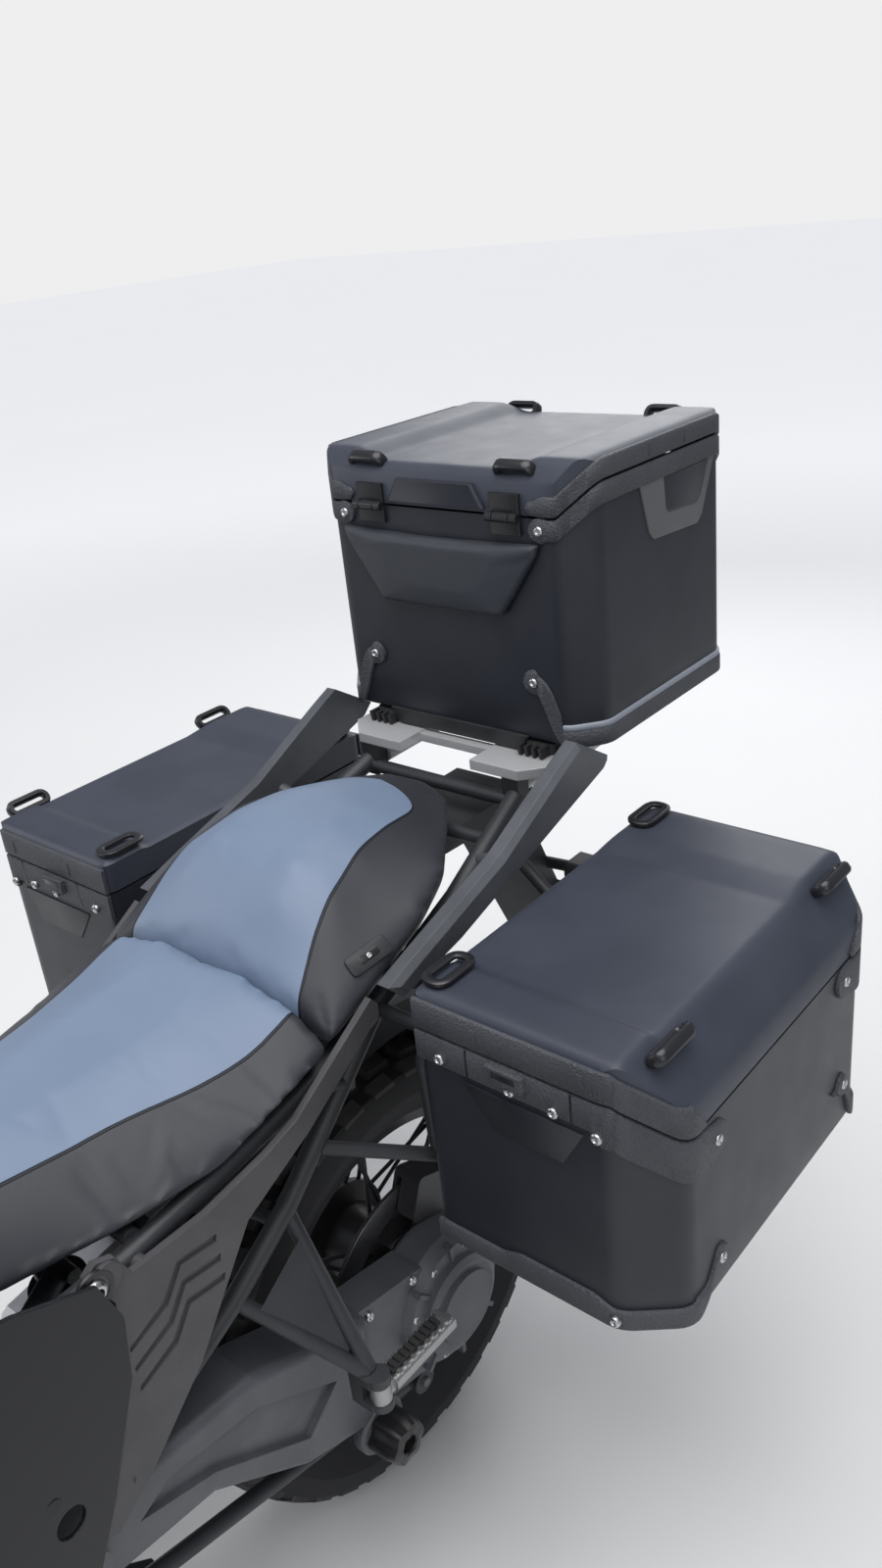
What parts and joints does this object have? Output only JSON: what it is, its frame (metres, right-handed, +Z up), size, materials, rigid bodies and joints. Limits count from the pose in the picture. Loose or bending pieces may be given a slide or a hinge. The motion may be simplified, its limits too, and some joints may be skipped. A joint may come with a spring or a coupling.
{
  "type": "adventure motorcycle",
  "caption": "Large flat-twin touring enduro motorcycle on its centre stand, with hard side cases and a top case whose lids open.",
  "frame": {"origin": "on the ground, on the centre plane, at the middle of the overall length", "axes": "+X towards the front wheel, +Y to the rider's left, +Z up"},
  "size_m": [2.5079, 1.066, 1.54],
  "materials": {
    "black_frame": "satin black powder coat",
    "engine_grey": "cast light alloy, painted dark grey",
    "machined_alloy": "satin cast alloy",
    "steel": "brushed stainless",
    "case_alloy": "blue-black powder coat",
    "textured_plastic": "coarse grain",
    "gloss_black": "gloss",
    "tyre": "matt rubber",
    "rubber": "matt",
    "seat_cover": "matt steel-blue vinyl with dark grey sides",
    "screen": "clear, lightly smoked",
    "lamp": "clear",
    "tank_paint": "gloss black"
  },
  "bodies": {
    "root": {"main_frame": "black_frame", "rear_subframe": "black_frame", "engine_case": "engine_grey", "cylinders": "engine_grey", "swing_arm": "engine_grey", "torque_rod": "machined_alloy", "final_drive": "engine_grey", "rear_caliper": "black_frame", "shock": "black_frame", "headlight": "lamp", "front_fairing": "textured_plastic", "windscreen": "screen", "instruments": "textured_plastic", "fuel_tank": "tank_paint", "tank_panels": "gloss_black", "rider_seat": "seat_cover", "pillion_seat": "seat_cover", "grab_rails": "black_frame", "side_trims": "textured_plastic", "side_case_left": "case_alloy", "side_case_right": "case_alloy", "top_case": "case_alloy", "back_pad": "rubber", "carrier_plate": "machined_alloy", "case_adapter": "textured_plastic", "case_racks": "black_frame", "exhaust": "steel", "skid_plate": "machined_alloy", "crash_bars": "black_frame", "tail_unit": "textured_plastic", "inner_fender": "textured_plastic"},
    "steering": {"front_axle": "steel", "fork_sliders": "black_frame", "fork_upper": "black_frame", "handlebar": "black_frame", "handguards": "textured_plastic", "mirrors": "textured_plastic", "front_mudguard": "gloss_black", "front_calipers": "black_frame"},
    "front_wheel_body": {"front_wheel": "black_frame", "front_tyre": "tyre", "front_discs": "steel"},
    "rear_wheel_body": {"rear_wheel": "black_frame", "rear_tyre": "tyre", "rear_disc": "steel"},
    "top_lid": {"top_case_lid": "case_alloy"},
    "left_lid": {"side_lid_left": "case_alloy"},
    "right_lid": {"side_lid_right": "case_alloy"},
    "centre_stand_body": {"centre_stand": "black_frame"},
    "side_stand_body": {"side_stand": "black_frame"},
    "left_rear_peg": {"passenger_peg_left": "machined_alloy"},
    "right_rear_peg": {"passenger_peg_right": "machined_alloy"},
    "left_front_peg": {"rider_peg_left": "machined_alloy"},
    "right_front_peg": {"rider_peg_right": "machined_alloy"}
  },
  "joints": [
    {"name": "steering_turn", "type": "hinge", "parent": "root", "child": "steering", "pos_m": [0.57053, 0, 0.94], "axis": [-0.4384, 0, 0.8988], "range_deg": [-36, 36]},
    {"name": "front_wheel_spin", "type": "hinge", "parent": "steering", "child": "front_wheel_body", "pos_m": [0.929, 0, 0.325], "axis": [0, 1, 0], "continuous": true},
    {"name": "rear_wheel_spin", "type": "hinge", "parent": "root", "child": "rear_wheel_body", "pos_m": [-0.605, 0, 0.33], "axis": [0, 1, 0], "continuous": true},
    {"name": "top_lid_hinge", "type": "hinge", "parent": "root", "child": "top_lid", "pos_m": [-0.8925, 0, 1.25], "axis": [0, 1, 0], "range_deg": [0, 88]},
    {"name": "left_lid_hinge", "type": "hinge", "parent": "root", "child": "left_lid", "pos_m": [-0.9745, 0.385, 0.85], "axis": [0, -1, 0], "range_deg": [0, 95]},
    {"name": "right_lid_hinge", "type": "hinge", "parent": "root", "child": "right_lid", "pos_m": [-0.9745, -0.385, 0.85], "axis": [0, -1, 0], "range_deg": [0, 95]},
    {"name": "centre_stand_swing", "type": "hinge", "parent": "root", "child": "centre_stand_body", "pos_m": [-0.135, 0, 0.268], "axis": [0, 1, 0], "range_deg": [0, 85]},
    {"name": "side_stand_swing", "type": "hinge", "parent": "root", "child": "side_stand_body", "pos_m": [0.035, 0.196, 0.246], "axis": [0, -0.9063, -0.4226], "range_deg": [0, 100]},
    {"name": "left_rear_peg_fold", "type": "hinge", "parent": "root", "child": "left_rear_peg", "pos_m": [-0.383, 0.25, 0.46], "axis": [0, 0, -1], "range_deg": [0, 90]},
    {"name": "right_rear_peg_fold", "type": "hinge", "parent": "root", "child": "right_rear_peg", "pos_m": [-0.383, -0.25, 0.46], "axis": [0, 0, 1], "range_deg": [0, 90]},
    {"name": "left_front_peg_fold", "type": "hinge", "parent": "root", "child": "left_front_peg", "pos_m": [-0.015, 0.186, 0.334], "axis": [1, 0, 0], "range_deg": [0, 60]},
    {"name": "right_front_peg_fold", "type": "hinge", "parent": "root", "child": "right_front_peg", "pos_m": [-0.015, -0.186, 0.334], "axis": [-1, 0, 0], "range_deg": [0, 60]}
  ]
}
